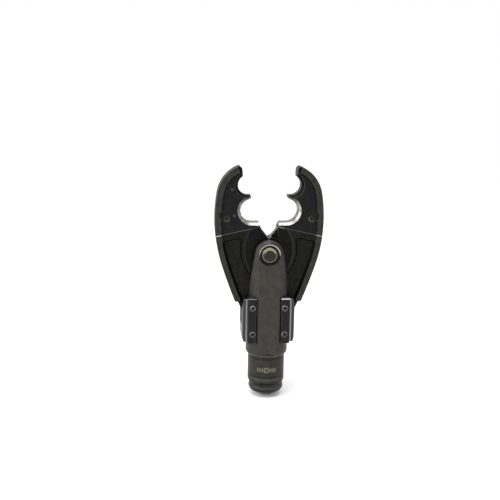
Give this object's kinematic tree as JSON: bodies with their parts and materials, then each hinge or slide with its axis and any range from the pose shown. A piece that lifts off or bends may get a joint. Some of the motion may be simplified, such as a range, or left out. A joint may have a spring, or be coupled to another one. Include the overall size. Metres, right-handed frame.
{
  "type": "scissor-jaw hydraulic crimping head",
  "caption": "Interchangeable scissor-jaw crimping head: two hinged jaws with crimp grooves, a slotted fork, a sprung push rod with rollers, and a grooved neck that seats in a hydraulic tool.",
  "frame": {"origin": "on the neck's axis, in the plane of the shoulder that seats on the tool", "axes": "+Z along the neck's axis towards the jaw tips, +X to the right as the head is seen from the front, -Y to the front"},
  "size_m": [0.0992, 0.0378, 0.2183],
  "materials": {
    "yoke_dark_finish": "satin, dark grey-brown phosphate over turned steel",
    "forged_steel_black": "satin black oxide over forged steel, machined faces a little bluer",
    "machined_steel_black": "satin black oxide",
    "black_oxide_steel": "satin black oxide",
    "ground_steel": "ground steel, lightly oiled",
    "zinc_plated_guard": "dull grey plated sheet steel",
    "bronze_bush": "plain bearing bronze",
    "spring_steel": "oiled spring steel",
    "seal_rubber": "black nitrile rubber"
  },
  "bodies": {
    "fork": {"yoke": "yoke_dark_finish", "pivot_pin": "ground_steel", "front_retaining_ring": "black_oxide_steel", "rear_retaining_ring": "black_oxide_steel", "front_thrust_washer": "bronze_bush", "rear_thrust_washer": "bronze_bush", "rod_guide_bush": "bronze_bush", "neck_gland": "black_oxide_steel", "rod_wiper_seal": "seal_rubber", "gland_o_ring": "seal_rubber", "ram_spring": "spring_steel", "jaw_spring": "spring_steel", "left_side_guard": "zinc_plated_guard", "right_side_guard": "zinc_plated_guard", "front_left_clamp_strip": "black_oxide_steel", "front_right_clamp_strip": "black_oxide_steel", "rear_left_clamp_strip": "black_oxide_steel", "rear_right_clamp_strip": "black_oxide_steel", "front_strip_screws": "black_oxide_steel", "rear_strip_screws": "black_oxide_steel"},
    "ram": {"push_rod": "ground_steel", "roller_carrier": "machined_steel_black", "rod_cross_pin": "ground_steel", "spring_seat": "ground_steel", "spring_seat_ring": "black_oxide_steel", "left_roller_pin": "ground_steel", "right_roller_pin": "ground_steel"},
    "left_roller_body": {"left_roller": "ground_steel", "left_roller_bush": "bronze_bush"},
    "right_roller_body": {"right_roller": "ground_steel", "right_roller_bush": "bronze_bush"},
    "left_jaw_body": {"left_jaw": "forged_steel_black", "left_jaw_bushes": "bronze_bush", "left_spring_anchor_pin": "ground_steel", "left_button_spring": "spring_steel", "left_button_plug": "black_oxide_steel"},
    "right_jaw_body": {"right_jaw": "forged_steel_black", "right_jaw_bush": "bronze_bush", "right_spring_anchor_pin": "ground_steel", "right_button_spring": "spring_steel", "right_button_plug": "black_oxide_steel"},
    "left_release": {"left_die_button": "black_oxide_steel"},
    "right_release": {"right_die_button": "black_oxide_steel"},
    "left_detent": {"left_die_detent": "ground_steel"},
    "right_detent": {"right_die_detent": "ground_steel"}
  },
  "joints": [
    {"name": "ram_slide", "type": "slide", "parent": "fork", "child": "ram", "axis": [0, 0, 1], "range_m": [0, 0.024], "stiffness_N_per_m": 1500, "springref_m": -0.01, "deforming": ["ram_spring"]},
    {"name": "left_jaw_pivot", "type": "hinge", "parent": "fork", "child": "left_jaw_body", "pos_m": [0, 0, 0.097], "axis": [0, 1, 0], "range_deg": [0, 18], "deforming": ["jaw_spring"]},
    {"name": "right_jaw_pivot", "type": "hinge", "parent": "fork", "child": "right_jaw_body", "pos_m": [0, 0, 0.097], "axis": [0, -1, 0], "range_deg": [0, 18], "deforming": ["jaw_spring"]},
    {"name": "left_roller_spin", "type": "hinge", "parent": "ram", "child": "left_roller_body", "pos_m": [-0.0088, 0, 0.033], "axis": [0, 1, 0], "continuous": true},
    {"name": "right_roller_spin", "type": "hinge", "parent": "ram", "child": "right_roller_body", "pos_m": [0.0088, 0, 0.033], "axis": [0, 1, 0], "continuous": true},
    {"name": "left_die_release", "type": "slide", "parent": "left_jaw_body", "child": "left_release", "axis": [0, 1, 0], "range_m": [0, 0.002], "stiffness_N_per_m": 600, "springref_m": -0.001, "deforming": ["left_button_spring"]},
    {"name": "left_detent_slide", "type": "slide", "parent": "left_jaw_body", "child": "left_detent", "axis": [-0.9511, 0, -0.309], "range_m": [0, 0.0006]},
    {"name": "right_die_release", "type": "slide", "parent": "right_jaw_body", "child": "right_release", "axis": [0, 1, 0], "range_m": [0, 0.002], "stiffness_N_per_m": 600, "springref_m": -0.001, "deforming": ["right_button_spring"]},
    {"name": "right_detent_slide", "type": "slide", "parent": "right_jaw_body", "child": "right_detent", "axis": [0.9511, 0, -0.309], "range_m": [0, 0.0006]}
  ],
  "couplings": [
    {"joint": "left_jaw_pivot", "follows": "ram_slide", "rad_per_m": 13.09},
    {"joint": "right_jaw_pivot", "follows": "ram_slide", "rad_per_m": 13.09},
    {"joint": "left_detent_slide", "follows": "left_die_release", "ratio": 0.3},
    {"joint": "right_detent_slide", "follows": "right_die_release", "ratio": 0.3}
  ]
}
